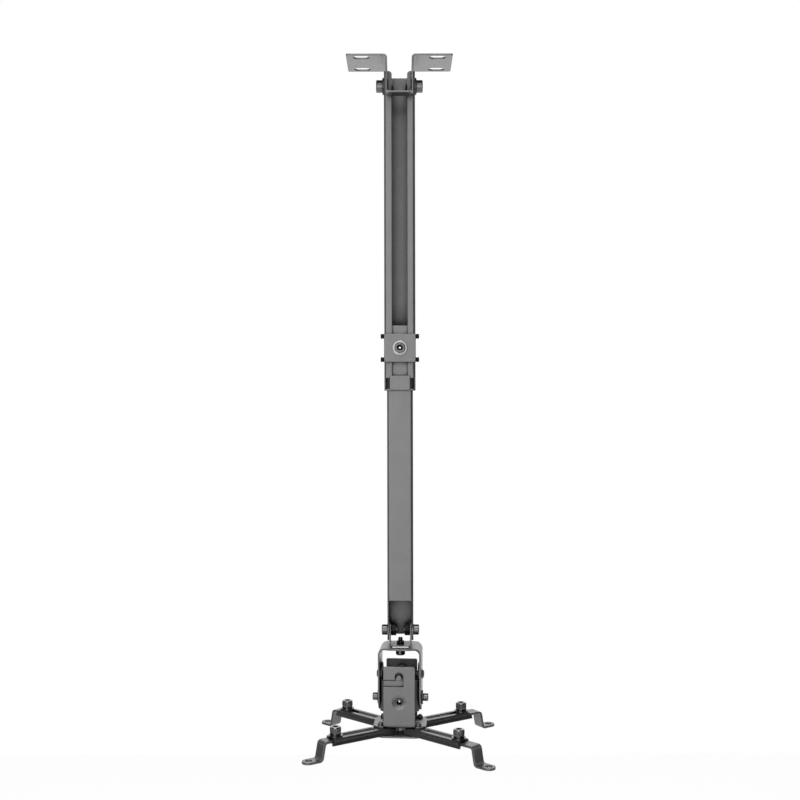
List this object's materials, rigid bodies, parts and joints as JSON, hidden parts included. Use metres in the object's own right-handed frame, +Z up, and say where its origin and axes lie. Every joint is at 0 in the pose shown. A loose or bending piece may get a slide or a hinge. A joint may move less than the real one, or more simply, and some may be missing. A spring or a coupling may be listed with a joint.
{
  "type": "telescopic projector ceiling mount",
  "caption": "Telescopic ceiling mount for a projector: slotted bracket, sliding steel column with clamp, tilting and swivelling head, spider of slotted arms with cranked feet.",
  "frame": {"origin": "middle of the ceiling bracket's upper face, on the column's axis", "axes": "+Z up to the ceiling, +X to the viewer's right, +Y away from the viewer; the clamp faces -Y"},
  "size_m": [0.1842, 0.1515, 0.652],
  "materials": {
    "powder_coat": "fine texture powder coat",
    "black_oxide": "black oxide",
    "dark_rivet": "dark satin",
    "black_plastic": "matte",
    "plain_steel": "plain",
    "dull_black": "dull black oxide"
  },
  "bodies": {
    "bracket": {"ceiling_bracket": "powder_coat", "top_pivot_screws": "black_oxide", "top_pivot_washers": "black_oxide", "top_pivot_nuts": "black_oxide"},
    "channel": {"outer_channel": "powder_coat", "stop_plate": "powder_coat", "guide_bush": "black_plastic"},
    "tube": {"inner_tube": "powder_coat", "tube_glide": "black_plastic", "clamp_block": "powder_coat", "clamp_screw": "black_oxide", "clamp_washer": "plain_steel", "clamp_nut": "black_oxide", "side_grub_screws": "dull_black", "low_pivot_screws": "black_oxide", "low_pivot_nuts": "black_oxide"},
    "clevis": {"swivel_clevis": "powder_coat", "swivel_screw": "black_oxide", "swivel_nut": "black_oxide"},
    "yoke": {"yoke": "powder_coat", "tilt_rivets": "dark_rivet"},
    "tilt_bracket": {"tilt_bracket": "powder_coat", "tilt_lock_screws": "black_oxide", "tilt_lock_washers": "black_oxide", "tilt_lock_nuts": "black_oxide", "hook_pins": "dark_rivet"},
    "hanger": {"hanger": "powder_coat", "roll_lock_screw": "black_oxide", "roll_lock_nut": "black_oxide", "hub_base_plate": "powder_coat", "hub_spacer": "plain_steel", "hub_screw": "black_oxide", "arm_rivets": "dark_rivet"},
    "arm_front_left": {"arm_front_left": "powder_coat"},
    "leg_front_left": {"leg_front_left": "powder_coat", "leg_screw_front_left": "black_oxide", "leg_washer_front_left": "black_oxide", "leg_spring_front_left": "black_oxide"},
    "arm_front_right": {"arm_front_right": "powder_coat"},
    "leg_front_right": {"leg_front_right": "powder_coat", "leg_screw_front_right": "black_oxide", "leg_washer_front_right": "black_oxide", "leg_spring_front_right": "black_oxide"},
    "arm_rear_left": {"arm_rear_left": "powder_coat"},
    "leg_rear_left": {"leg_rear_left": "powder_coat", "leg_screw_rear_left": "black_oxide", "leg_washer_rear_left": "black_oxide", "leg_spring_rear_left": "black_oxide"},
    "arm_rear_right": {"arm_rear_right": "powder_coat"},
    "leg_rear_right": {"leg_rear_right": "powder_coat", "leg_screw_rear_right": "black_oxide", "leg_washer_rear_right": "black_oxide", "leg_spring_rear_right": "black_oxide"}
  },
  "joints": [
    {"name": "column_tilt", "type": "hinge", "parent": "bracket", "child": "channel", "pos_m": [0, 0, -0.0235], "axis": [1, 0, 0], "range_deg": [0, 30]},
    {"name": "extension", "type": "slide", "parent": "channel", "child": "tube", "axis": [0, 0, 1], "range_m": [-0.012, 0.21]},
    {"name": "clevis_fold", "type": "hinge", "parent": "tube", "child": "clevis", "pos_m": [0, 0, -0.5426], "axis": [1, 0, 0], "range_deg": [-90, 2]},
    {"name": "head_swivel", "type": "hinge", "parent": "clevis", "child": "yoke", "pos_m": [0, 0, -0.5573], "axis": [0, 0, 1], "continuous": true},
    {"name": "head_tilt", "type": "hinge", "parent": "yoke", "child": "tilt_bracket", "pos_m": [0, 0, -0.5848], "axis": [0.9971, -0.0767, 0], "range_deg": [-15, 15]},
    {"name": "head_roll", "type": "hinge", "parent": "tilt_bracket", "child": "hanger", "pos_m": [0, 0, -0.5845], "axis": [0.0767, 0.9971, 0], "range_deg": [-5, 5]},
    {"name": "arm_front_left_swing", "type": "hinge", "parent": "hanger", "child": "arm_front_left", "pos_m": [-0.01882, -0.01251, -0.635], "axis": [0, 0, 1], "range_deg": [-35, 35]},
    {"name": "leg_front_left_slide", "type": "slide", "parent": "arm_front_left", "child": "leg_front_left", "axis": [-0.8329, -0.5534, 0], "range_m": [-0.032, 0.0003]},
    {"name": "arm_front_right_swing", "type": "hinge", "parent": "hanger", "child": "arm_front_right", "pos_m": [0.01669, -0.01524, -0.635], "axis": [0, 0, 1], "range_deg": [-35, 35]},
    {"name": "leg_front_right_slide", "type": "slide", "parent": "arm_front_right", "child": "leg_front_right", "axis": [0.7385, -0.6743, 0], "range_m": [-0.032, 0.0003]},
    {"name": "arm_rear_left_swing", "type": "hinge", "parent": "hanger", "child": "arm_rear_left", "pos_m": [-0.01669, 0.01524, -0.635], "axis": [0, 0, 1], "range_deg": [-35, 35]},
    {"name": "leg_rear_left_slide", "type": "slide", "parent": "arm_rear_left", "child": "leg_rear_left", "axis": [-0.7385, 0.6743, 0], "range_m": [-0.032, 0.0003]},
    {"name": "arm_rear_right_swing", "type": "hinge", "parent": "hanger", "child": "arm_rear_right", "pos_m": [0.01882, 0.01251, -0.635], "axis": [0, 0, 1], "range_deg": [-35, 35]},
    {"name": "leg_rear_right_slide", "type": "slide", "parent": "arm_rear_right", "child": "leg_rear_right", "axis": [0.8329, 0.5534, 0], "range_m": [-0.032, 0.0003]}
  ]
}
